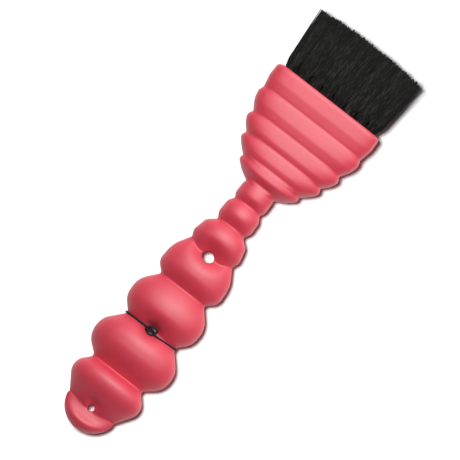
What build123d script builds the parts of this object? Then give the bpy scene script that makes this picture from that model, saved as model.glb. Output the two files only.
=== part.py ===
"""Fade brush: a one-piece lobed handle whose flat head carries three rows of staple-set nylon tufts.

The brush lies on its face. +Y runs from the tail to the bristle tips, X is across, +Z is up.
The origin is under the middle of the brush, on the surface that it lies on. Lengths are in mm.
"""

import math
import os

from build123d import *

# Overall sizes
LENGTH = 200.0
MID_HEIGHT = 9.34  # the mid-plane of the handle, above the surface that the brush lies on
TAIL_Y = -LENGTH / 2
MOUTH = 170.6  # from the tail to the flat face that the tufts come out of

# The tail is a flattened ball, cut off where the first lobe begins
TAIL_RADIUS = 12.0
TAIL_HALF_THICKNESS = 4.7
TAIL_END = 10.8
TAIL_CREASE = 2.4  # half the thickness left in the crease at its end
TAIL_CREASE_RADIUS = 2.2

# Corners of the plan outline: distance from the tail, half the width, radius of the corner.
# Each lobe or ridge starts and ends in a groove, so the grooves are listed apart from the crests.
PLAN_GROOVES = [
    (10.8, 11.4, 0),
    (28.25, 12.0, 1.6),
    (50.7, 12.0, 1.6),
    (72.0, 11.15, 1.0),
    (91.7, 10.5, 1.0),
    (104.0, 6.6, 1.0),
    (115.25, 6.4, 0.8),
    (123.6, 7.0, 0.6),
    (131.1, 14.5, 0.6),
    (139.4, 19.2, 0.8),
    (148.0, 22.3, 1.0),
    (158.6, 25.1, 1.5),
    (MOUTH, 26.15, 0),
]
PLAN_CRESTS = [
    [(21.4, 18.5, 6.2)],
    [(34.1, 19.3, 9.0), (42.5, 19.4, 9.0)],
    [(56.1, 17.1, 8.0), (64.4, 17.6, 10.0)],
    [(76.0, 15.4, 5.0), (84.6, 14.9, 14.0)],
    [(94.7, 11.8, 3.2), (101.0, 10.3, 4.0)],
    [(107.1, 8.3, 4.0), (112.6, 8.1, 3.0)],
    [(117.3, 7.55, 2.5), (122.5, 7.5, 1.0)],
    [(126.2, 11.6, 5.0), (129.4, 15.3, 1.8)],
    [(134.3, 18.0, 8.0), (137.5, 20.6, 2.0)],
    [(142.5, 22.0, 8.0), (145.8, 23.8, 2.6)],
    [(152.6, 25.2, 9.0), (156.4, 26.0, 3.0)],
    [(164.2, 26.25, 8.0)],
]

# The side outline, one row for each lobe or ridge: half the thickness in the groove that it starts
# in, its crest and half the thickness there, and the fullness of its two flanks (1 is a straight
# slope, 2 is a parabola).
SIDE_LOBES = [
    (2.4, 22.6, 8.9, 1.8, 2.7),
    (3.5, 39.9, 9.34, 1.8, 2.8),
    (3.8, 60.0, 9.0, 1.75, 2.2),
    (4.0, 79.9, 7.9, 1.75, 2.4),
    (3.4, 97.4, 7.2, 1.6, 2.2),
    (3.6, 110.0, 6.4, 1.7, 2.0),
    (4.0, 119.6, 6.1, 1.6, 1.7),
    (5.2, 128.5, 7.8, 1.4, 1.6),
    (7.3, 135.0, 7.95, 1.1, 1.5),
    (7.4, 142.7, 8.1, 1.1, 1.5),
    (7.55, 152.8, 8.35, 1.1, 1.5),
    (7.8, 164.0, 8.6, 1.1, 1.6),
]
MOUTH_HALF_THICKNESS = 8.5
LIP_ROUNDING = 2.2  # in plan, at the mouth's corners
LIP_EDGE = 1.0  # the same rounding across the thickness

# The cross-section is an ellipse along the handle, and squarer across the head
OVAL = 2.0
SQUARE = 5.0
SQUARE_FROM = 123.0
SQUARE_AT = 168.0
SECTION_POINTS = 24
LOBE_SECTIONS = 7

# Through holes: distance from the tail, hole radius, half the web left round it, radius of the dish
TAIL_HOLE = (10.4, 1.5, 2.1, 8.0)
CORD_HOLE = (50.7, 2.0, 2.7, 6.0)
HANG_HOLE = (88.9, 2.5, 2.8, 6.5)

# Tufts: three staggered rows, set in drilled blind holes
TUFT_PITCH = 5.95
ROW_PITCH = 4.3
OUTER_ROW_COUNT = 8
MIDDLE_ROW_COUNT = 7
TUFT_HOLE_RADIUS = 2.05
TUFT_HOLE_DEPTH = 9.0
TUFT_CLEARANCE = 0.05
TUFT_GAP = 0.06  # between neighbouring tufts once they have spread
TIP_SPREAD = 1.075  # how much the field of tufts widens by the tips
SPREAD_AT = 3.0  # beyond the mouth, where the tufts have filled the gaps between them
TIP_BOW = 1.4  # how much shorter the outermost tufts are

# The flat wire anchor that each tuft is folded over
ANCHOR_LENGTH = 4.7
ANCHOR_WIDTH = 1.6
ANCHOR_THICKNESS = 0.35
ANCHOR_UP = 0.9  # above the floor of the hole

# The elastic cord tied round the waist
CORD_RADIUS = 0.37
CORD_CLEARANCE = 0.26
KNOT_HALF_LENGTH = 2.5
KNOT_RADIUS = 1.6
KNOT_DROP = 0.5  # how far the knot's middle lies below the cord's

AXIS_PLANE = Plane(origin=(0, 0, MID_HEIGHT), x_dir=(1, 0, 0), z_dir=(0, -1, 0))


def cross_plane(station):
    """The plane across the brush at a distance from the tail."""
    return AXIS_PLANE.offset(-(TAIL_Y + station))


def plan_outline():
    """One side of the plan, as runs joined by arcs, from the first groove to the mouth."""
    corners = []
    for groove, crest in zip(PLAN_GROOVES, PLAN_CRESTS):
        corners += [groove, *crest]
    corners.append(PLAN_GROOVES[-1])
    with BuildLine() as line:
        FilletPolyline(
            *[(half_width, station) for station, half_width, _ in corners],
            radius=[radius for _, _, radius in corners[1:-1]],
        )
    return line.wire()


plan = plan_outline()


def half_width_at(station):
    """How far the plan outline stands from the axis at a distance from the tail."""
    low, high = 0.0, 1.0
    for _ in range(30):
        middle = (low + high) / 2
        if plan.position_at(middle).Y < station:
            low = middle
        else:
            high = middle
    return plan.position_at((low + high) / 2).X


def half_thickness_at(station):
    """Half the thickness at a distance from the tail."""
    stations = [groove[0] for groove in PLAN_GROOVES]
    lows = [lobe[0] for lobe in SIDE_LOBES] + [MOUTH_HALF_THICKNESS]
    for number, (_, crest, high, rise, fall) in enumerate(SIDE_LOBES):
        if station <= crest:
            share = (crest - station) / (crest - stations[number])
            return high - (high - lows[number]) * share**rise
        if station <= stations[number + 1]:
            share = (station - crest) / (stations[number + 1] - crest)
            return high - (high - lows[number + 1]) * share**fall


def squareness(station):
    """The exponent of the cross-section's superellipse."""
    share = min(max((station - SQUARE_FROM) / (SQUARE_AT - SQUARE_FROM), 0.0), 1.0)
    return OVAL + (SQUARE - OVAL) * share**2


def superellipse(half_width, half_height, exponent, centre=(0.0, 0.0)):
    """Points round a superellipse, evenly turned."""
    points = []
    for i in range(SECTION_POINTS):
        c = math.cos(2 * math.pi * i / SECTION_POINTS)
        s = math.sin(2 * math.pi * i / SECTION_POINTS)
        reach = (abs(c) ** exponent + abs(s) ** exponent) ** (-1 / exponent)
        points.append((centre[0] + half_width * c * reach, centre[1] + half_height * s * reach))
    return points


def section(station, half_width, half_height, exponent, centre=(0.0, 0.0)):
    """A face across the brush."""
    with BuildSketch(cross_plane(station)) as face:
        with BuildLine():
            Spline(*superellipse(half_width, half_height, exponent, centre), periodic=True)
        make_face()
    return face.sketch


def handle_section(station, width_less=0.0, height_less=0.0):
    """The handle's cross-section, narrowed where the lip is rounded."""
    return section(
        station,
        half_width_at(station) - width_less,
        half_thickness_at(station) - height_less,
        squareness(station),
    )


def spaced(start, end, count):
    """Stations from start to end, closest together at the ends."""
    turns = [math.pi * i / (count - 1) for i in range(count)]
    return [start + (end - start) * (1 - math.cos(turn)) / 2 for turn in turns]


def row_places(count, height):
    """Where the tufts of one row stand on the mouth, as (across, up from the mid-plane)."""
    return [((i - (count - 1) / 2) * TUFT_PITCH, height) for i in range(count)]


ROWS = {
    "upper": row_places(OUTER_ROW_COUNT, ROW_PITCH),
    "middle": row_places(MIDDLE_ROW_COUNT, 0.0),
    "lower": row_places(OUTER_ROW_COUNT, -ROW_PITCH),
}


def write(part, name):
    """Labels a finished piece and writes its STEP file."""
    part.label = name
    export_step(part, f"parts/{name}.step")


os.makedirs("parts", exist_ok=True)

# Anchors: a short flat wire across each hole, driven a little into both sides of it
anchor_rows = {}
anchor_middle = MOUTH - TUFT_HOLE_DEPTH + ANCHOR_UP + ANCHOR_WIDTH / 2
for row, places in ROWS.items():
    with BuildPart() as anchors:
        with BuildSketch(cross_plane(anchor_middle)):
            with Locations(*places):
                Rectangle(ANCHOR_LENGTH, ANCHOR_THICKNESS)
        extrude(amount=ANCHOR_WIDTH / 2, both=True)
    anchor_rows[row] = anchors.part
    write(anchors.part, f"anchors_{row}_row")

# Seats: the drilled blind holes of the tufts, with the cuts that the anchors make in their walls
with BuildPart() as seats:
    for row, places in ROWS.items():
        with BuildSketch(cross_plane(MOUTH)):
            with Locations(*places):
                Circle(TUFT_HOLE_RADIUS)
        extrude(amount=TUFT_HOLE_DEPTH)
        add(anchor_rows[row])

# Handle: the tail, then one loft for each lobe and ridge
tail_centre = Plane(origin=(0, TAIL_Y + TAIL_RADIUS, MID_HEIGHT), x_dir=(1, 0, 0), z_dir=(0, -1, 0))
with BuildPart() as handle:
    with BuildSketch(tail_centre):
        Ellipse(TAIL_RADIUS, TAIL_HALF_THICKNESS)
        split(bisect_by=Plane.YZ, keep=Keep.TOP)
    revolve(axis=Axis(tail_centre.origin, (0, 0, 1)))
    split(bisect_by=Plane(origin=(0, TAIL_Y + TAIL_END, 0), z_dir=(0, -1, 0)), keep=Keep.TOP)
    crease_up = TAIL_CREASE + TAIL_CREASE_RADIUS
    with Locations(*[(0, TAIL_Y + TAIL_END, MID_HEIGHT + up) for up in (crease_up, -crease_up)]):
        Cylinder(TAIL_CREASE_RADIUS, 3 * TAIL_RADIUS, rotation=(0, 90, 0), mode=Mode.SUBTRACT)
    ends = [groove[0] for groove in PLAN_GROOVES]
    ends[-1] = MOUTH - LIP_ROUNDING
    for start, end in zip(ends, ends[1:]):
        loft([handle_section(station) for station in spaced(start, end, LOBE_SECTIONS)])
    # the lip's rounding, to the flat face of the mouth
    lip = []
    for turn in (0, 20, 40, 60, 75, 90):
        gone = 1 - math.cos(math.radians(turn))
        station = MOUTH - LIP_ROUNDING * (1 - math.sin(math.radians(turn)))
        lip.append(handle_section(station, LIP_ROUNDING * gone, LIP_EDGE * gone))
    loft(lip)
    # through holes, each in the middle of a dish on both faces
    for station, radius, web, dish in (TAIL_HOLE, CORD_HOLE, HANG_HOLE):
        y = TAIL_Y + station
        with Locations((0, y, MID_HEIGHT + web + dish), (0, y, MID_HEIGHT - web - dish)):
            Sphere(dish, mode=Mode.SUBTRACT)
        with Locations((0, y, MID_HEIGHT)):
            Cylinder(radius, 3 * MID_HEIGHT, mode=Mode.SUBTRACT)
    add(seats.part, mode=Mode.SUBTRACT)
write(handle.part, "handle")


def tuft_face(place, beyond):
    """A tuft's cross-section at a distance beyond the mouth."""
    share = beyond / (LENGTH - MOUTH)
    spread = 1 + (TIP_SPREAD - 1) * share
    filled = min(beyond / SPREAD_AT, 1.0)
    root = TUFT_HOLE_RADIUS - TUFT_CLEARANCE
    half_width = root + filled * ((TUFT_PITCH * spread - TUFT_GAP) / 2 - root)
    half_height = root + filled * ((ROW_PITCH * spread - TUFT_GAP) / 2 - root)
    centre = (place[0] * spread, place[1] * spread)
    return section(MOUTH + beyond, half_width, half_height, OVAL + filled, centre)


# Tufts: a round shank folded over its anchor, spreading into the field of bristles
outermost = ROWS["upper"][-1][0]
for row, places in ROWS.items():
    for number, place in enumerate(places, start=1):
        tip = LENGTH - MOUTH - TIP_BOW * (place[0] / outermost) ** 2
        with BuildPart() as tuft:
            extrude(tuft_face(place, 0), amount=TUFT_HOLE_DEPTH - TUFT_CLEARANCE)
            loft([tuft_face(place, beyond) for beyond in (0, SPREAD_AT, tip)], ruled=True)
            add(anchor_rows[row], mode=Mode.SUBTRACT)
        write(tuft.part, f"tuft_{row}_{number}")

# Cord: one turn in the waist's groove, tied in a knot over the middle hole
waist = PLAN_GROOVES[2][0]
clear = CORD_RADIUS + CORD_CLEARANCE
ring_half_width = half_width_at(waist) + clear
ring_half_height = half_thickness_at(waist) + clear
knot_middle = (0, TAIL_Y + waist, MID_HEIGHT + ring_half_height - KNOT_DROP)
knot_plane = Plane(origin=knot_middle, x_dir=(1, 0, 0), z_dir=(0, -1, 0))
with BuildPart() as knot:
    with BuildSketch(knot_plane):
        Ellipse(KNOT_HALF_LENGTH, KNOT_RADIUS)
        split(bisect_by=Plane.XZ, keep=Keep.TOP)
    revolve(axis=Axis(knot_middle, (1, 0, 0)))
write(knot.part, "cord_knot")

with BuildPart() as loop:
    with BuildLine(cross_plane(waist)) as route:
        EllipticalCenterArc((0, 0), ring_half_width, ring_half_height, 0, arc_size=360)
    with BuildSketch(Plane(origin=route.line @ 0, z_dir=route.line % 0)):
        Circle(CORD_RADIUS)
    sweep()
    add(knot.part, mode=Mode.SUBTRACT)
write(loop.part, "cord_loop")
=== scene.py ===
"""The looks of the fade brush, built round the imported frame: a lobed handle, 23 tufts, a tied cord.

The frame is in metres. Outlines are written in millimetres, as (distance from the tail, half the
size, radius of the corner), and turned into metres where the meshes are made.
"""

import math

import bmesh
import bpy
import numpy as np
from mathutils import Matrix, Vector


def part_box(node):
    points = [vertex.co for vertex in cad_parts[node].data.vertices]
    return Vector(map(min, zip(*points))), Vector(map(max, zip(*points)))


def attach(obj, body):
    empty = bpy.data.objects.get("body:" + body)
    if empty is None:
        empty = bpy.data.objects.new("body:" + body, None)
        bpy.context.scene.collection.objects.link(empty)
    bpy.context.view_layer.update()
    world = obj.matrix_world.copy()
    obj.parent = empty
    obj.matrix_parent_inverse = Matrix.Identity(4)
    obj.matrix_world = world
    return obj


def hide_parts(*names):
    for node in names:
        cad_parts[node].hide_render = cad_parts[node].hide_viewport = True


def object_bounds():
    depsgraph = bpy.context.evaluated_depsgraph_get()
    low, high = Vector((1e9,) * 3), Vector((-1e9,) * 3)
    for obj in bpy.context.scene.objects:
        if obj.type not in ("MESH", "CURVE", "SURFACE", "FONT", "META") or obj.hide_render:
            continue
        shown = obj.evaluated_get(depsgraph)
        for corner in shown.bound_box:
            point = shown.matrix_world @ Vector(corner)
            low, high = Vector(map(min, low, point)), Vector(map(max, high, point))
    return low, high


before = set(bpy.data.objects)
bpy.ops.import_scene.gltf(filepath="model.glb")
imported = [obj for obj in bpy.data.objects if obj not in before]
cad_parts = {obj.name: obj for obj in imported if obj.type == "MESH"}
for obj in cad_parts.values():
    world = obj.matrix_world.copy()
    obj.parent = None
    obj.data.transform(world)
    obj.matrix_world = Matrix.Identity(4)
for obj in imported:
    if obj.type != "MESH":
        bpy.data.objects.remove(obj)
cad_low, cad_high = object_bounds()

MM = 0.001
TAIL_Y = cad_low.y / MM
LENGTH = (cad_high.y - cad_low.y) / MM
handle_low, handle_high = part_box("handle")
MID_HEIGHT = (handle_low.z + handle_high.z) / 2 / MM
MOUTH = handle_high.y / MM - TAIL_Y

# Outlines of the handle: each lobe or ridge runs from groove to groove over its crest
PLAN_GROOVES = [
    (10.8, 11.4, 0),
    (28.25, 12.0, 1.6),
    (50.7, 12.0, 1.6),
    (72.0, 11.15, 1.0),
    (91.7, 10.5, 1.0),
    (104.0, 6.6, 1.0),
    (115.25, 6.4, 0.8),
    (123.6, 7.0, 0.6),
    (131.1, 14.5, 0.6),
    (139.4, 19.2, 0.8),
    (148.0, 22.3, 1.0),
    (158.6, 25.1, 1.5),
    (MOUTH, 26.15, 0),
]
PLAN_CRESTS = [
    [(21.4, 18.5, 6.2)],
    [(34.1, 19.3, 9.0), (42.5, 19.4, 9.0)],
    [(56.1, 17.1, 8.0), (64.4, 17.6, 10.0)],
    [(76.0, 15.4, 5.0), (84.6, 14.9, 14.0)],
    [(94.7, 11.8, 3.2), (101.0, 10.3, 4.0)],
    [(107.1, 8.3, 4.0), (112.6, 8.1, 3.0)],
    [(117.3, 7.55, 2.5), (122.5, 7.5, 1.0)],
    [(126.2, 11.6, 5.0), (129.4, 15.3, 1.8)],
    [(134.3, 18.0, 8.0), (137.5, 20.6, 2.0)],
    [(142.5, 22.0, 8.0), (145.8, 23.8, 2.6)],
    [(152.6, 25.2, 9.0), (156.4, 26.0, 3.0)],
    [(164.2, 26.25, 8.0)],
]
# The side outline, one row for each lobe or ridge: the groove that it starts in and half the
# thickness there, its crest and half the thickness there, and the fullness of its two flanks
# (1 is a straight slope, 2 is a parabola).
SIDE_LOBES = [
    (10.8, 2.0, 22.6, 8.9, 1.8, 2.7),
    (28.3, 3.4, 39.9, 9.34, 1.8, 2.8),
    (50.7, 3.8, 60.0, 9.0, 1.75, 2.2),
    (72.2, 4.0, 79.9, 7.9, 1.75, 2.4),
    (91.2, 3.3, 97.4, 7.2, 1.6, 2.2),
    (104.8, 3.6, 110.0, 6.4, 1.7, 2.0),
    (115.8, 4.0, 119.6, 6.1, 1.6, 1.7),
    (125.5, 5.2, 128.5, 7.8, 1.4, 1.6),
    (132.7, 7.4, 135.0, 7.95, 1.1, 1.5),
    (140.3, 7.5, 142.7, 8.1, 1.1, 1.5),
    (148.8, 7.65, 152.8, 8.35, 1.1, 1.5),
    (159.4, 7.9, 164.0, 8.6, 1.1, 1.6),
]
RIDGES_FROM = 132.0  # the grooves beyond this are also scored with a narrow notch
NOTCH_DEPTH = 0.13
NOTCH_REACH = 0.55
MOUTH_HALF_THICKNESS = 8.5
TAIL_END = PLAN_GROOVES[0][0]
TAIL_RADIUS = 11.85
TAIL_RIM = 7.0  # radius of the line along the top of the tail's rim
TAIL_HALF_THICKNESS = 4.1
TAIL_RISE = 7.6  # how far from the crease the rim reaches its full height, on the middle line
TAIL_RISE_LESS = 1.5  # how much nearer it does so at the sides
CORNERS_LOWER = 0.76  # the share of its rise that the rim loses at the tail's two corners
CREASE_DIP_AT = 0.6  # beyond the crease
CREASE_DIP = 0.15  # how far the crease goes on falling on the tail's side
LIP_ROUNDING = 1.9
LIP_ACROSS = 2.7
LIP_EDGE = 0.7
OVAL, SQUARE = 2.0, 5.0
SQUARE_FROM, SQUARE_AT = 109.0, 168.0

# Through holes: place along the handle, half-sizes across and along, and how round each is (2 is
# an ellipse, 1 is a diamond). Then the hollow round each: its depth, its reach, and how far its
# middle lies from the hole's towards the bristles. Last, how far from the hole the creases are
# softened, which is next to nothing at the tail, where the TAIL_ values shape the crease.
HOLE_FIELDS = ("at", "across", "along", "power", "hollow", "reach", "above", "soft")
HOLES = [
    dict(zip(HOLE_FIELDS, values))
    for values in (
        (10.4, 1.5, 1.45, 2.0, 1.6, 2.6, 2.0, 0.01),
        (50.6, 2.0, 1.95, 2.0, 2.9, 3.5, 1.0, 5.5),
        (88.9, 2.85, 2.4, 1.65, 2.0, 4.0, 1.4, 5.5),
    )
]
RIM_ROUNDING = 0.55
HOLLOW_WIDER = 1.4  # across, than along
CREASE_BENT = SIDE_LOBES[4][0]  # the crease at the hanging hole
CREASE_BEND = 2.1  # how far its middle bows towards the tail
CREASE_BEND_FADES = (4.5, 10.6)  # over these distances from the middle line
CREASE_BEND_REACH = 4.5
TAIL_BEND = 1.7  # the same for the crease at the tail's hole
TAIL_BEND_FADES = (1.5, 10.8)
TAIL_BEND_REACH = 4.0
TAIL_FILLET = 0.6  # how far the middle of that crease is filled
TAIL_FILLET_AT = 9.5
TAIL_FILLET_REACH = (9.5, 4.5)  # across and along
CREASE_BLUR = 0.3
HOLE_BLUR = 1.6

STATION_STEP = 0.36
AROUND = 176
COLLAR = 2.6  # the width of the mesh's collar round each hole, and its rings' shares of the way in
COLLAR_RINGS = (0.22, 0.42, 0.58, 0.7, 0.79, 0.85, 0.9, 0.94, 0.97, 0.99, 1.0)

# Tufts
TUFT_PITCH = 5.95
ROW_PITCH = 4.3
TUFT_HOLE_RADIUS = 1.95
TUFT_HOLE_DEPTH = 9.0
TUFT_HOLE_SIDES = 20
ROWS = {"upper": (8, ROW_PITCH), "middle": (7, 0.0), "lower": (8, -ROW_PITCH)}


# ---------------------------------------------------------------- outlines

def outline():
    """Points along the plan outline, of straight runs joined by arcs."""
    corners = []
    for groove, crest in zip(PLAN_GROOVES, PLAN_CRESTS):
        corners += [groove, *crest]
    corners.append(PLAN_GROOVES[-1])
    points = [corners[0][:2]]
    for before, corner, after in zip(corners, corners[1:], corners[2:]):
        middle, radius = Vector(corner[:2]), corner[2]
        back = (Vector(before[:2]) - middle).normalized()
        ahead = (Vector(after[:2]) - middle).normalized()
        half = math.acos(max(-1.0, min(1.0, back.dot(ahead)))) / 2
        centre = middle + (back + ahead).normalized() * radius / math.sin(half)
        first = middle + back * radius / math.tan(half) - centre
        last = middle + ahead * radius / math.tan(half) - centre
        start = math.atan2(first.y, first.x)
        sweep = (math.atan2(last.y, last.x) - start + math.pi) % (2 * math.pi) - math.pi
        for k in range(25):
            turn = start + sweep * k / 24
            points.append((centre.x + radius * math.cos(turn), centre.y + radius * math.sin(turn)))
    points.append(corners[-1][:2])
    return np.array(points)


plan_line = outline()


def smoothstep(low, high, value):
    t = np.clip((value - low) / (high - low), 0, 1)
    return t * t * (3 - 2 * t)


def lip_gone(s):
    """How much of the lip's rounding has been taken off, from 0 to 1 at the mouth."""
    q = np.clip((s - (MOUTH - LIP_ROUNDING)) / LIP_ROUNDING, 0, 1)
    return 1 - np.sqrt(1 - q * q)


def half_width(s):
    body = np.interp(s, plan_line[:, 0], plan_line[:, 1]) - LIP_ACROSS * lip_gone(s)
    tail = np.sqrt(np.clip(TAIL_RADIUS**2 - (TAIL_RADIUS - s) ** 2, 0, None))
    notch = (TAIL_RADIUS - PLAN_GROOVES[0][1]) * smoothstep(TAIL_END - 1.3, TAIL_END, s)
    return np.where(s < TAIL_END, tail - notch, body)


def side_height(s):
    """Half the thickness along the middle: each lobe rises to its crest and falls to the next."""
    s = np.asarray(s, float)
    half = np.where(s < TAIL_END, SIDE_LOBES[0][1], MOUTH_HALF_THICKNESS)
    ends = [(lobe[0], lobe[1]) for lobe in SIDE_LOBES[1:]] + [(MOUTH, MOUTH_HALF_THICKNESS)]
    for (start, low, crest, high, rise, fall), (end, next_low) in zip(SIDE_LOBES, ends):
        t = np.clip((crest - s) / (crest - start), 0, 1)
        half = np.where((s >= start) & (s <= crest), low + (high - low) * (1 - t**rise), half)
        t = np.clip((s - crest) / (end - crest), 0, 1)
        falling = next_low + (high - next_low) * (1 - t**fall)
        half = np.where((s > crest) & (s <= end), falling, half)
    for start, *_ in SIDE_LOBES:
        if start > RIDGES_FROM:
            half = half - NOTCH_DEPTH * np.exp(-(((s - start) / NOTCH_REACH) ** 2))
    return half


def blurred(line, step, blur):
    """A line's heights, smoothed over a distance."""
    reach = round(3 * blur / step)
    kernel = np.exp(-((np.arange(-reach, reach + 1) * step / blur) ** 2) / 2)
    return np.convolve(np.pad(line, reach, "edge"), kernel / kernel.sum(), "valid")


def tail_height(x, s, from_centre, across):
    """Half the tail's thickness: a rim that rises from the crease and rounds off to the edge."""
    outward = np.clip((from_centre - TAIL_RIM) / (TAIL_RADIUS - TAIL_RIM), 0, 1)
    rim = TAIL_HALF_THICKNESS * np.sqrt(1 - outward**2)
    crease = SIDE_LOBES[0][1] * across
    sideways = np.clip(np.abs(x) / TAIL_END, 0, 1) ** 2
    gone = np.clip((TAIL_END - s) / (TAIL_RISE - TAIL_RISE_LESS * sideways), 0, 1)
    rise = smoothstep(0, 1, gone**1.3) * (1 - CORNERS_LOWER * sideways)
    return crease + (rim - crease) * rise


STEP = 0.05
line_s = np.arange(0, MOUTH, STEP)
middle_line = np.where(
    line_s < TAIL_END,
    tail_height(0.0, line_s, np.abs(TAIL_RADIUS - line_s), 1.0),
    blurred(side_height(line_s), STEP, CREASE_BLUR),
)
softening = blurred(middle_line, STEP, HOLE_BLUR) - middle_line


def squareness(s):
    share = np.clip((s - SQUARE_FROM) / (SQUARE_AT - SQUARE_FROM), 0, 1)
    return OVAL + (SQUARE - OVAL) * share**2


def height(x, s):
    """Half the handle's thickness at a place across and along it, hollows and rims included."""
    x, s = np.broadcast_arrays(np.asarray(x, float), np.asarray(s, float))
    width = np.maximum(half_width(s), 1e-6)
    u = np.clip(np.abs(x) / width, 0, 1)
    bend = CREASE_BEND * (1 - smoothstep(*CREASE_BEND_FADES, np.abs(x)))
    bent = s + bend * np.exp(-(((s - CREASE_BENT + bend / 2) / CREASE_BEND_REACH) ** 2))
    bend = TAIL_BEND * (1 - smoothstep(*TAIL_BEND_FADES, np.abs(x)))
    bent = bent + bend * np.exp(-(((s - TAIL_END + bend / 2) / TAIL_BEND_REACH) ** 2))
    crisp = np.interp(bent, line_s, middle_line) - LIP_EDGE * lip_gone(s)
    near = np.zeros_like(s)
    for hole in HOLES:
        near = np.maximum(near, np.exp(-(x**2 + (s - hole["at"]) ** 2) / hole["soft"] ** 2))
    power = squareness(s)
    body = crisp * (1 - u**power) ** (1 / power)
    true_width = np.sqrt(np.clip(TAIL_RADIUS**2 - (TAIL_RADIUS - s) ** 2, 0, None))
    from_centre = np.sqrt((u * true_width) ** 2 + (TAIL_RADIUS - s) ** 2)
    round_off = np.sqrt(1 - u * u)
    half = np.where(bent < TAIL_END, tail_height(x, bent, from_centre, round_off), body)
    crease = SIDE_LOBES[0][1] * round_off
    away = (x / TAIL_FILLET_REACH[0]) ** 2 + ((s - TAIL_FILLET_AT) / TAIL_FILLET_REACH[1]) ** 2
    fillet = TAIL_FILLET * np.exp(-away) * round_off
    filled = crease + np.sqrt(np.clip(half - crease, 0, None) ** 2 + fillet**2)
    half = np.where(fillet > 1e-3, filled, half)
    half = half + near * np.interp(bent, line_s, softening) * round_off
    half = half - CREASE_DIP * np.exp(-((bent - TAIL_END + CREASE_DIP_AT) ** 2)) * round_off
    for hole in HOLES:
        away = (x / HOLLOW_WIDER) ** 2 + (s - hole["at"] - hole["above"]) ** 2
        half = half - hole["hollow"] * np.exp(-away / hole["reach"] ** 2) * round_off
        mean = (hole["across"] + hole["along"]) / 2
        power = hole["power"]
        far = np.abs(x / hole["across"]) ** power
        far = far + np.abs((s - hole["at"]) / hole["along"]) ** power
        out = (far ** (1 / power) - 1) * mean
        q = 1 - np.clip(out / RIM_ROUNDING, 0, 1)
        half = half - RIM_ROUNDING * (1 - np.sqrt(1 - q * q))
    return half


# ---------------------------------------------------------------- meshes

def new_piece(name, verts, faces, material):
    """A piece from points in millimetres, in the row frame."""
    mesh = bpy.data.meshes.new(name)
    mesh.from_pydata((np.asarray(verts) * MM).tolist(), [], faces)
    mesh.update()
    mesh.shade_smooth()
    piece = bpy.data.objects.new(name, mesh)
    bpy.context.collection.objects.link(piece)
    mesh.materials.append(material)
    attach(piece, "root")
    return piece


def handle_stations():
    """Stations from the tail to the mouth, with one in each groove."""
    tail = [TAIL_RADIUS * (1 - math.cos(t)) for t in np.linspace(0, math.pi / 2, 46)]
    stations = [s for s in tail if 0 < s < TAIL_END - 0.1]
    ends = [groove[0] for groove in PLAN_GROOVES]
    ends[-1] = MOUTH - LIP_ROUNDING
    for start, end in zip(ends, ends[1:]):
        steps = round((end - start) / STATION_STEP)
        stations += [start + (end - start) * k / steps for k in range(steps)]
    stations += [MOUTH - LIP_ROUNDING * (1 - math.sin(math.radians(t))) for t in range(0, 91, 9)]
    return np.array(stations)


def tuft_places(row):
    count, up = ROWS[row]
    return [((i - (count - 1) / 2) * TUFT_PITCH, up) for i in range(count)]


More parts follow.
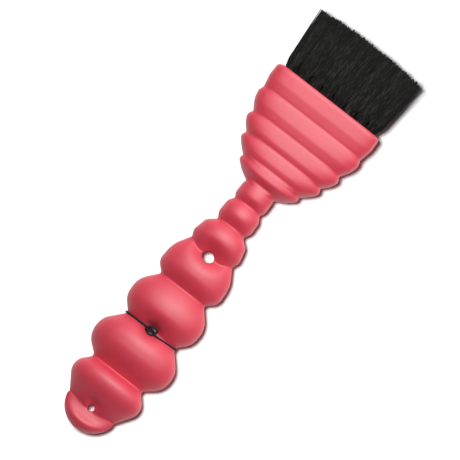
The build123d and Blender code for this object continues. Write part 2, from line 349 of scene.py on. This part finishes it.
def handle_mesh():
    stations = handle_stations()
    turns = 2 * math.pi * np.arange(AROUND) / AROUND
    c, sn = np.cos(turns), np.sin(turns)
    power = squareness(stations)[:, None]
    reach = (np.abs(c) ** power + np.abs(sn) ** power) ** (-1 / power)
    x = half_width(stations)[:, None] * c * reach
    s = np.broadcast_to(stations[:, None], x.shape)
    z = height(x, s) * np.sign(np.where(np.abs(sn) < 1e-9, 0, sn))
    verts = [tuple(v) for v in np.stack([x, s, z], -1).reshape(-1, 3)]
    count = len(stations)

    # the blocks of the grid that the holes' collars take the place of
    blocks = []
    for hole in HOLES:
        rows = np.nonzero(np.abs(stations - hole["at"]) < hole["along"] + COLLAR)[0]
        width = half_width(np.array([hole["at"]]))[0]
        columns = round(math.asin((hole["across"] + COLLAR) / width) / (2 * math.pi / AROUND))
        blocks.append((hole, rows[0], rows[-1], columns))

    def cut(i, j):
        for _, low, high, columns in blocks:
            for top in (AROUND // 4, 3 * AROUND // 4):
                if low <= i < high and top - columns <= j < top + columns:
                    return True
        return False

    faces = []
    for i in range(count - 1):
        for j in range(AROUND):
            if cut(i, j):
                continue
            k = (j + 1) % AROUND
            low, high = i * AROUND, (i + 1) * AROUND
            faces.append((low + j, low + k, high + k, high + j))
    tip = len(verts)
    verts.append((0.0, 0.0, 0.0))
    for j in range(AROUND):
        faces.append((tip, (j + 1) % AROUND, j))

    for hole, low, high, columns in blocks:
        rims = {}
        for side, top in ((1, AROUND // 4), (-1, 3 * AROUND // 4)):
            left, right = top - columns, top + columns
            loop = [(low, j) for j in range(left, right)]
            loop += [(i, right) for i in range(low, high)]
            loop += [(high, j) for j in range(right, left, -1)]
            loop += [(i, left) for i in range(high, low, -1)]
            ring = [i * AROUND + j for i, j in loop]
            places = np.array([verts[v][:2] for v in ring])
            angle = np.arctan2(places[:, 1] - hole["at"], places[:, 0])
            c, sn, power = np.cos(angle), np.sin(angle), hole["power"]
            far = np.abs(c / hole["across"]) ** power + np.abs(sn / hole["along"]) ** power
            reach = far ** (-1 / power)
            edge = np.stack([reach * c, hole["at"] + reach * sn], -1)
            for share in COLLAR_RINGS:
                at = places + (edge - places) * share
                up = height(at[:, 0], at[:, 1]) * side
                inner = list(range(len(verts), len(verts) + len(ring)))
                verts += [(*p, h) for p, h in zip(at, up)]
                for a in range(len(ring)):
                    b = (a + 1) % len(ring)
                    faces.append((ring[a], ring[b], inner[b], inner[a]))
                ring = inner
            rims[side] = (ring, angle)
        # the wall of the hole, between the two rims
        (upper, up_angle), (lower, low_angle) = rims[1], rims[-1]
        mate = []
        for a in up_angle:
            apart = np.abs(np.angle(np.exp(1j * (low_angle - a))))
            mate.append(lower[int(np.argmin(apart))])
        for share in (0.25, 0.5, 0.75, 1.0):
            if share < 1:
                inner = list(range(len(verts), len(verts) + len(upper)))
                verts += [
                    tuple(np.array(verts[a]) * (1 - share) + np.array(verts[b]) * share)
                    for a, b in zip(rims[1][0], mate)
                ]
            else:
                inner = mate
            for a in range(len(upper)):
                b = (a + 1) % len(upper)
                faces.append((upper[a], upper[b], inner[b], inner[a]))
            upper = inner

    # the mouth: a flat face with the tufts' blind holes
    bm = bmesh.new()
    made = [bm.verts.new(v) for v in verts]
    for face in faces:
        bm.faces.new([made[v] for v in face])
    bm.verts.index_update()
    last = [made[(count - 1) * AROUND + j] for j in range(AROUND)]
    edges = [bm.edges.get((a, b)) for a, b in zip(last, last[1:] + last[:1])]
    rings = []
    for row in ROWS:
        for tx, tz in tuft_places(row):
            ring = []
            for t in np.linspace(0, 2 * math.pi, TUFT_HOLE_SIDES, endpoint=False):
                x = tx + TUFT_HOLE_RADIUS * math.cos(t)
                ring.append(bm.verts.new((x, MOUTH, tz + TUFT_HOLE_RADIUS * math.sin(t))))
            edges += [bm.edges.new((a, b)) for a, b in zip(ring, ring[1:] + ring[:1])]
            rings.append(ring)
    bmesh.ops.triangle_fill(bm, use_beauty=True, use_dissolve=False, edges=edges, normal=(0, 1, 0))
    for ring in rings:
        floor = [bm.verts.new((v.co.x, MOUTH - TUFT_HOLE_DEPTH, v.co.z)) for v in ring]
        for k, v in enumerate(ring):
            n = (k + 1) % len(ring)
            bm.faces.new((v, ring[n], floor[n], floor[k]))
            bm.edges.get((v, ring[n])).smooth = False
        bm.faces.new(floor)
    bmesh.ops.recalc_face_normals(bm, faces=bm.faces)
    for v in bm.verts:
        v.co = (v.co.x * MM, (v.co.y + TAIL_Y) * MM, (v.co.z + MID_HEIGHT) * MM)
    for face in bm.faces:
        face.smooth = True
    mesh = bpy.data.meshes.new("handle_moulding")
    bm.to_mesh(mesh)
    bm.free()
    return mesh


# ---------------------------------------------------------------- materials

def tree_of(name):
    material = bpy.data.materials.new(name)
    material.use_nodes = True
    nodes, links = material.node_tree.nodes, material.node_tree.links
    return material, nodes, links, nodes["Principled BSDF"]


def add(nodes, kind, **values):
    """A node with its settings and its input values; names with spaces are inputs."""
    node = nodes.new(kind)
    for key, value in values.items():
        if hasattr(node, key):
            setattr(node, key, value)
        else:
            node.inputs[key.replace("_", " ")].default_value = value
    return node


def ramp(nodes, stops):
    node = nodes.new("ShaderNodeValToRGB")
    node.color_ramp.elements[0].position, node.color_ramp.elements[0].color = stops[0]
    node.color_ramp.elements[1].position, node.color_ramp.elements[1].color = stops[-1]
    for place, colour in stops[1:-1]:
        node.color_ramp.elements.new(place).color = colour
    return node


def soft_touch_pink():
    material, nodes, links, shader = tree_of("soft_touch_pink")
    place = nodes.new("ShaderNodeTexCoord")
    cloud = add(nodes, "ShaderNodeTexNoise", Scale=55.0, Detail=4.0, Roughness=0.55)
    grain = add(nodes, "ShaderNodeTexNoise", Scale=1500.0, Detail=3.0, Roughness=0.6)
    peel = add(nodes, "ShaderNodeTexNoise", Scale=420.0, Detail=2.0, Roughness=0.5)
    for texture in (cloud, grain, peel):
        links.new(place.outputs["Object"], texture.inputs["Vector"])
    tint = ramp(nodes, [(0.3, (0.71, 0.026, 0.062, 1)), (0.7, (0.78, 0.032, 0.072, 1))])
    links.new(cloud.outputs["Fac"], tint.inputs["Fac"])
    links.new(tint.outputs["Color"], shader.inputs["Base Color"])
    rough = add(nodes, "ShaderNodeMapRange", To_Min=0.50, To_Max=0.64)
    links.new(grain.outputs["Fac"], rough.inputs["Value"])
    links.new(rough.outputs["Result"], shader.inputs["Roughness"])
    fine = add(nodes, "ShaderNodeBump", Strength=0.10, Distance=0.00006)
    broad = add(nodes, "ShaderNodeBump", Strength=0.2, Distance=0.00012)
    links.new(grain.outputs["Fac"], fine.inputs["Height"])
    links.new(peel.outputs["Fac"], broad.inputs["Height"])
    links.new(broad.outputs["Normal"], fine.inputs["Normal"])
    links.new(fine.outputs["Normal"], shader.inputs["Normal"])
    shader.inputs["Specular IOR Level"].default_value = 0.95
    shader.inputs["IOR"].default_value = 1.62
    shader.inputs["Sheen Weight"].default_value = 0.15
    shader.inputs["Sheen Roughness"].default_value = 0.45
    return material


def black_nylon():
    material, nodes, links, shader = tree_of("black_nylon")
    tone = add(nodes, "ShaderNodeAttribute", attribute_name="tone")
    place = nodes.new("ShaderNodeTexCoord")
    stretch = nodes.new("ShaderNodeMapping")
    stretch.inputs["Scale"].default_value = (1.0, 0.14, 0.5)
    links.new(place.outputs["Object"], stretch.inputs["Vector"])
    streak = add(nodes, "ShaderNodeTexNoise", Scale=2100.0, Detail=3.0, Roughness=0.6)
    links.new(stretch.outputs["Vector"], streak.inputs["Vector"])
    both = add(nodes, "ShaderNodeMath", operation="MULTIPLY_ADD")
    both.inputs[1].default_value = 4.4
    links.new(streak.outputs["Fac"], both.inputs[0])
    drop = add(nodes, "ShaderNodeMath", operation="SUBTRACT")
    drop.inputs[1].default_value = 2.27
    links.new(tone.outputs["Fac"], drop.inputs[0])
    links.new(drop.outputs["Value"], both.inputs[2])
    stops = [
        (0.2, (0.002, 0.002, 0.002, 1)),
        (0.6, (0.0095, 0.0088, 0.0079, 1)),
        (1.0, (0.046, 0.043, 0.038, 1)),
    ]
    tint = ramp(nodes, stops)
    links.new(both.outputs["Value"], tint.inputs["Fac"])
    links.new(tint.outputs["Color"], shader.inputs["Base Color"])
    scuff = add(nodes, "ShaderNodeTexNoise", Scale=900.0, Detail=2.0)
    links.new(place.outputs["Object"], scuff.inputs["Vector"])
    rough = add(nodes, "ShaderNodeMapRange", To_Min=0.34, To_Max=0.55)
    links.new(scuff.outputs["Fac"], rough.inputs["Value"])
    links.new(rough.outputs["Result"], shader.inputs["Roughness"])
    shader.inputs["Specular IOR Level"].default_value = 0.35
    return material


def elastic_black():
    material, nodes, links, shader = tree_of("elastic_black")
    place = nodes.new("ShaderNodeTexCoord")
    weave = add(nodes, "ShaderNodeTexNoise", Scale=2600.0, Detail=3.0)
    links.new(place.outputs["Object"], weave.inputs["Vector"])
    tint = ramp(nodes, [(0.3, (0.004, 0.004, 0.005, 1)), (0.8, (0.022, 0.021, 0.022, 1))])
    links.new(weave.outputs["Fac"], tint.inputs["Fac"])
    links.new(tint.outputs["Color"], shader.inputs["Base Color"])
    bump = add(nodes, "ShaderNodeBump", Strength=0.5, Distance=0.00005)
    links.new(weave.outputs["Fac"], bump.inputs["Height"])
    links.new(bump.outputs["Normal"], shader.inputs["Normal"])
    shader.inputs["Roughness"].default_value = 0.7
    return material


def drawn_wire():
    material, nodes, links, shader = tree_of("drawn_wire")
    place = nodes.new("ShaderNodeTexCoord")
    stretch = nodes.new("ShaderNodeMapping")
    stretch.inputs["Scale"].default_value = (0.08, 1.0, 1.0)
    links.new(place.outputs["Object"], stretch.inputs["Vector"])
    lines = add(nodes, "ShaderNodeTexNoise", Scale=9000.0, Detail=2.0)
    links.new(stretch.outputs["Vector"], lines.inputs["Vector"])
    tint = ramp(nodes, [(0.3, (0.48, 0.47, 0.45, 1)), (0.7, (0.66, 0.65, 0.63, 1))])
    links.new(lines.outputs["Fac"], tint.inputs["Fac"])
    links.new(tint.outputs["Color"], shader.inputs["Base Color"])
    bump = add(nodes, "ShaderNodeBump", Strength=0.3, Distance=0.00002)
    links.new(lines.outputs["Fac"], bump.inputs["Height"])
    links.new(bump.outputs["Normal"], shader.inputs["Normal"])
    shader.inputs["Metallic"].default_value = 1.0
    shader.inputs["Roughness"].default_value = 0.32
    return material


# ---------------------------------------------------------------- handle

pink = soft_touch_pink()
moulding = bpy.data.objects.new("handle_moulding", handle_mesh())
bpy.context.collection.objects.link(moulding)
moulding.data.materials.append(pink)
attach(moulding, "root")
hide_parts("handle")


# ---------------------------------------------------------------- tufts

FILAMENTS = 560
FILAMENT_RADIUS = 0.085
CLUMPS = 22
FREE_LENGTH = LENGTH - MOUTH
TIP_SPREAD = 1.058
SPREAD_AT = 4.8  # beyond the mouth, where the tufts have closed up
ROOT_DEPTH = 3.0
OVERLAP = 1.02  # of each tuft's share of the space, so that no gap shows
ALONG = [0.0, 0.06, 0.14, 0.27, 0.46, 0.68, 0.87, 0.98, 1.0]  # shares of a filament's free length
TAPER = [1, 1, 1, 1, 1, 1, 0.95, 0.85, 0.7, 0.4]
SIDES = 4
CLUMP_LEAN_X, OWN_LEAN_X = 0.26, 0.30  # how far the tips lean, as standard deviations
CLUMP_LEAN_Z, OWN_LEAN_Z = 0.14, 0.18
CLUMP_SHORT, OWN_SHORT = 0.15, 0.12
CORNER_SHORT = 1.2  # how much shorter the bristles are at the two corners
STRAY_SHARE, STRAY_LEAN = 0.02, 2.2
LEFT_STRAYS, LEFT_LEAN = 5, (0.2, 0.9)  # in each tuft at that end, and how far they lean out
RIGHT_STRAYS, RIGHT_LEAN = 10, (0.4, 2.3)
WAVE, WAVES = 0.15, 9
BULGE = 0.25  # how far the end tufts splay over the lip
SWEPT = 0.2  # how far the whole head of bristles is swept to one side
OWN_TONE, CLUMP_TONE, ALONG_TONE = (0.42, 0.2), 0.14, 0.16
TIP_DARKER = 0.15
LOCKS = 80
LOCK_WIDTH = 0.85
LOCK_PULL = 0.5
lock_rng = np.random.default_rng(3)
LOCK_SHORT = lock_rng.uniform(0, 0.95, LOCKS)
LOCK_SHIFT = lock_rng.uniform(-0.25, 0.25, LOCKS)


def tuft_mesh(row, number, rng):
    """Every filament of one tuft, as a thin tapering tube."""
    places = tuft_places(row)
    tx, tz = places[number]
    k = np.arange(FILAMENTS)
    radius = np.sqrt((k + 0.5) / FILAMENTS)
    turn = k * math.pi * (3 - math.sqrt(5))
    p, q = radius * np.cos(turn), radius * np.sin(turn)
    big = np.maximum(np.abs(p), np.abs(q)) + 1e-9
    square_p, square_q = p / big * radius, q / big * radius
    # clumps lean and are cut together
    centres = rng.uniform(-1, 1, (CLUMPS, 2))
    away_p = square_p[:, None] - centres[:, 0]
    away_q = square_q[:, None] - centres[:, 1]
    clump = np.argmin(away_p**2 + away_q**2, axis=1)
    lean_x = rng.normal(0, CLUMP_LEAN_X, CLUMPS)[clump] + rng.normal(0, OWN_LEAN_X, FILAMENTS)
    lean_z = rng.normal(0, CLUMP_LEAN_Z, CLUMPS)[clump] + rng.normal(0, OWN_LEAN_Z, FILAMENTS)
    clump_short = np.abs(rng.normal(0, CLUMP_SHORT, CLUMPS))[clump]
    short = clump_short + np.abs(rng.normal(0, OWN_SHORT, FILAMENTS))
    stray = rng.random(FILAMENTS) < STRAY_SHARE
    lean_x = np.where(stray, lean_x * STRAY_LEAN, lean_x)
    if number == len(places) - 1:
        outer = np.argsort(-square_p + rng.uniform(0, 0.25, FILAMENTS))[:RIGHT_STRAYS]
        lean_x[outer] += rng.uniform(*RIGHT_LEAN, RIGHT_STRAYS)
    if number == 0:
        outer = np.argsort(square_p + rng.uniform(0, 0.25, FILAMENTS))[:LEFT_STRAYS]
        lean_x[outer] -= rng.uniform(*LEFT_LEAN, LEFT_STRAYS)
    wave = rng.uniform(-WAVE, WAVE, (2, FILAMENTS))
    phase = rng.uniform(0, 2 * math.pi, (2, FILAMENTS))
    end_x = tuft_places("upper")[-1][0]
    bow = (tx / end_x) ** 2
    tip = FREE_LENGTH - CORNER_SHORT * bow - short
    own_tone = rng.normal(*OWN_TONE, FILAMENTS) + rng.normal(0, CLUMP_TONE, CLUMPS)[clump]

    # locks that run through all three rows draw together and are cut to the same length
    x_tip = tx * TIP_SPREAD + square_p * TUFT_PITCH / 2 + lean_x
    lock = np.clip(np.floor(x_tip / LOCK_WIDTH) + LOCKS / 2, 0, LOCKS - 1).astype(int)
    pull = ((lock - (LOCKS - 1) / 2) * LOCK_WIDTH + LOCK_SHIFT[lock] - x_tip) * LOCK_PULL
    tip = tip - LOCK_SHORT[lock]

    rows, tones = [], []
    for at in (-1, *ALONG):
        along = at + (rng.uniform(-0.03, 0.03, FILAMENTS) if 0 < at < 1 else 0)
        y = tip * along if at >= 0 else np.full(FILAMENTS, -ROOT_DEPTH)
        share = np.clip(y / FREE_LENGTH, 0, 1)
        spread = 1 + (TIP_SPREAD - 1) * share
        filled = smoothstep(-2.0, SPREAD_AT, y)
        root = TUFT_HOLE_RADIUS - 0.1
        cell_x = TUFT_PITCH * spread / 2 * OVERLAP
        cell_z = ROW_PITCH * spread / 2 * OVERLAP
        x = tx * spread + p * root * (1 - filled) + square_p * cell_x * filled
        z = tz * spread + q * root * (1 - filled) + square_q * cell_z * filled
        out = smoothstep(-1.5, 2.0, y)
        splay = BULGE * (1 - 0.5 * share) * np.sign(x) * np.abs(x / end_x) ** 3
        x = x + out * (SWEPT + splay)
        wavy_x, wavy_z = wave * np.sin(phase + share * WAVES) * share
        x = x + lean_x * share**1.5 + pull * share**3 + wavy_x
        z = z + lean_z * share**1.5 + wavy_z
        rows.append(np.stack([x, y, z], -1))
        tone = own_tone + rng.normal(0, ALONG_TONE, FILAMENTS) - TIP_DARKER * share
        tones.append(np.clip(tone, 0, 1))
    spine = np.stack(rows, 1)
    angles = 2 * math.pi * np.arange(SIDES) / SIDES + math.pi / 4
    ring = np.stack([np.cos(angles), np.zeros(SIDES), np.sin(angles)], -1)
    thickness = FILAMENT_RADIUS * np.array(TAPER)
    points = spine[:, :, None, :] + thickness[None, :, None, None] * ring[None, None, :, :]
    steps = len(TAPER)
    verts = points.reshape(-1, 3) + np.array([0, MOUTH + TAIL_Y, MID_HEIGHT])
    faces = []
    for f in range(FILAMENTS):
        base = f * steps * SIDES
        for a in range(steps - 1):
            for b in range(SIDES):
                n = (b + 1) % SIDES
                low, high = base + a * SIDES, base + (a + 1) * SIDES
                faces.append((low + b, high + b, high + n, low + n))
        end = base + (steps - 1) * SIDES
        faces.append(tuple(end + b for b in reversed(range(SIDES))))
        faces.append(tuple(base + b for b in range(SIDES)))
    return verts, faces, np.repeat(np.stack(tones, 1).reshape(-1), SIDES)


nylon = black_nylon()
rng = np.random.default_rng(7)
for row, (count, _) in ROWS.items():
    for number in range(count):
        verts, faces, tone = tuft_mesh(row, number, rng)
        tuft = new_piece(f"bristles_{row}_{number + 1}", verts, faces, nylon)
        tuft.data.attributes.new("tone", "FLOAT", "POINT").data.foreach_set("value", tone)
        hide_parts(f"tuft_{row}_{number + 1}")


# ---------------------------------------------------------------- cord

CORD_RADIUS = 0.4
CORD_SIDES = 12
WAIST = PLAN_GROOVES[2][0]
PRESSED_IN = 0.3  # how far the stretched cord sinks into the sides
KNOT_GAP = 14  # degrees of the ring that the knot takes the place of
CORD_STEPS = 260
LEFT_JOG, RIGHT_JOG = 0.55, -0.75  # how far along the brush the cord enters the knot on each side


def cord_tube(name, path):
    """The round elastic along points in millimetres, closed at both ends."""
    path = np.asarray(path, float)
    count = len(path)
    ahead = np.roll(path, -1, 0) - np.roll(path, 1, 0)
    ahead[0], ahead[-1] = path[1] - path[0], path[-1] - path[-2]
    ahead /= np.linalg.norm(ahead, axis=1)[:, None]
    normal = np.cross(ahead[0], (0.3, 0.2, 1.0))
    rings = []
    for k in range(count):
        normal = normal - ahead[k] * normal.dot(ahead[k])
        normal /= np.linalg.norm(normal)
        other = np.cross(ahead[k], normal)
        for b in range(CORD_SIDES):
            t = 2 * math.pi * b / CORD_SIDES
            rings.append(path[k] + CORD_RADIUS * (math.cos(t) * normal + math.sin(t) * other))
    faces = []
    for k in range(count - 1):
        low, high = k * CORD_SIDES, (k + 1) * CORD_SIDES
        for b in range(CORD_SIDES):
            c = (b + 1) % CORD_SIDES
            faces.append((low + b, low + c, high + c, high + b))
    faces.append(tuple(reversed(range(CORD_SIDES))))
    faces.append(tuple((count - 1) * CORD_SIDES + b for b in range(CORD_SIDES)))
    return new_piece(name, rings, faces, black_elastic)


loop_low, loop_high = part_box("cord_loop")
ring_across = (loop_high.x - loop_low.x) / 2 / MM - CORD_RADIUS - PRESSED_IN
ring_up = MID_HEIGHT - loop_low.z / MM - CORD_RADIUS
black_elastic = elastic_black()


def cord_route():
    """From one side of the knot, once round the waist, to the other side."""
    route = []
    start = 90 + KNOT_GAP / 2
    for turn in np.linspace(math.radians(start), math.radians(start + 360 - KNOT_GAP), CORD_STEPS):
        x, z = ring_across * math.cos(turn), ring_up * math.sin(turn)
        jog = 0.0
        if z > 0:
            jog = (LEFT_JOG if x < 0 else RIGHT_JOG) * (1 - abs(x) / ring_across)
        # on the skin wherever the groove's flank stands higher than the ring
        if abs(x) < 0.93 * ring_across:
            skin = float(height(x, WAIST + jog)) + 0.75 * CORD_RADIUS
            z = math.copysign(max(abs(z), skin), z)
        route.append((x, TAIL_Y + WAIST + jog, MID_HEIGHT + z))
    route = np.array(route)
    for _ in range(6):
        route[1:-1] = (route[:-2] + route[1:-1] * 2 + route[2:]) / 4
    return route


cord = cord_tube("elastic_cord", cord_route())
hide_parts("cord_loop")

knot_low, knot_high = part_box("cord_knot")
knot_middle = np.array((knot_low + knot_high) / 2 / MM)

# The knot's turns, from the cord's left end to its right end, about the knot's middle
KNOT_TURNS = [
    (-2.9, 0.25, -0.35),
    (-1.9, 0.75, 0.1),
    (-0.3, 1.35, 0.75),
    (2.0, 1.7, 0.6),
    (2.4, 0.6, 0.2),
    (1.1, -0.2, 0.9),
    (-0.9, -0.2, 1.15),
    (-2.1, -0.3, 0.5),
    (-1.5, -1.3, 0.0),
    (0.1, -1.7, 0.3),
    (1.3, -1.2, 0.7),
    (0.7, 0.1, -0.1),
    (-0.8, 0.7, 0.0),
    (-0.5, 0.5, 1.6),
    (0.9, 0.6, 1.5),
    (2.0, -0.3, 0.4),
    (2.9, -0.95, -0.35),
]


def knot_route():
    """A smooth line through the knot's turns."""
    ends = [KNOT_TURNS[0], *KNOT_TURNS, KNOT_TURNS[-1]]
    route = []
    for a, b, c, d in zip(ends, ends[1:], ends[2:], ends[3:]):
        a, b, c, d = (np.array(v) for v in (a, b, c, d))
        for t in np.arange(0, 1, 0.1):
            bend = (2 * a - 5 * b + 4 * c - d) * t * t + (3 * b - a - 3 * c + d) * t**3
            route.append(knot_middle + (2 * b + (c - a) * t + bend) / 2)
    return route


knot = cord_tube("cord_knot_turns", knot_route())
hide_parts("cord_knot")

wire = drawn_wire()
for row in ROWS:
    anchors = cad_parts[f"anchors_{row}_row"]
    anchors.data.materials.clear()
    anchors.data.materials.append(wire)


# ---------------------------------------------------------------- stage

def stage_floor():
    size = 3.0
    corners = [(-size, -size, 0), (size, -size, 0), (size, size, 0), (-size, size, 0)]
    mesh = bpy.data.meshes.new("floor")
    mesh.from_pydata(corners, [], [(0, 1, 2, 3)])
    floor = bpy.data.objects.new("floor", mesh)
    bpy.context.collection.objects.link(floor)
    material, nodes, links, shader = tree_of("paper_white")
    shader.inputs["Base Color"].default_value = (0.93, 0.93, 0.93, 1)
    shader.inputs["Roughness"].default_value = 0.9
    shader.inputs["Specular IOR Level"].default_value = 0.1
    mesh.materials.append(material)
    return floor


def area_light(name, direction, distance, size, power):
    """A square soft light, shining at the brush from a direction."""
    lamp = bpy.data.lights.new(name, "AREA")
    lamp.shape, lamp.size, lamp.energy = "SQUARE", size, power
    light = bpy.data.objects.new(name, lamp)
    bpy.context.collection.objects.link(light)
    towards = Vector(direction).normalized()
    light.location = towards * distance
    light.rotation_mode = "QUATERNION"
    light.rotation_quaternion = (-towards).to_track_quat("-Z", "Y")
    return light


floor = stage_floor()
on_brush = [
    area_light("key", (0.03, 0.41, 0.91), 0.8, 0.42, 5.6),
    area_light("side", (0.53, 0.53, 0.67), 1.3, 0.5, 2.5),
    area_light("low", (0.0, 0.93, 0.37), 1.3, 0.5, 3.0),
]
# The paper has a lamp of its own, nearly overhead, as a lit sweep has in a studio
on_paper = area_light("paper", (-0.155, 0.01, 1.0), 1.5, 0.22, 26.0)

paper_only = bpy.data.collections.new("paper_only")
paper_only.objects.link(floor)
on_paper.light_linking.receiver_collection = paper_only
not_paper = bpy.data.collections.new("not_paper")
not_paper.objects.link(floor)
not_paper.collection_objects[0].light_linking.link_state = "EXCLUDE"
for light in on_brush:
    light.light_linking.receiver_collection = not_paper

world = bpy.data.worlds.new("studio")
world.use_nodes = True
world.node_tree.nodes["Background"].inputs["Color"].default_value = (1, 1, 1, 1)
world.node_tree.nodes["Background"].inputs["Strength"].default_value = 0.06
bpy.context.scene.world = world
bpy.context.scene.view_settings.view_transform = "Standard"

# The camera looks straight down, turned so that the bristles point up to the right
CAMERA_LENS = 600.0
SENSOR = 36.0
VIEW_WIDTH = 189.5  # millimetres across the frame at the handle's mid-plane
LEAN = math.radians(37.85)  # of the brush, clockwise from the top of the frame
CENTRE = (0.28, 3.39)
camera_data = bpy.data.cameras.new("camera")
camera_data.lens, camera_data.sensor_width = CAMERA_LENS, SENSOR
camera_data.clip_end = 20.0
camera = bpy.data.objects.new("camera", camera_data)
bpy.context.collection.objects.link(camera)
distance = VIEW_WIDTH * CAMERA_LENS / SENSOR
camera.location = (CENTRE[0] * MM, CENTRE[1] * MM, (MID_HEIGHT + distance) * MM)
camera.rotation_euler = (0, 0, LEAN)
bpy.context.scene.camera = camera
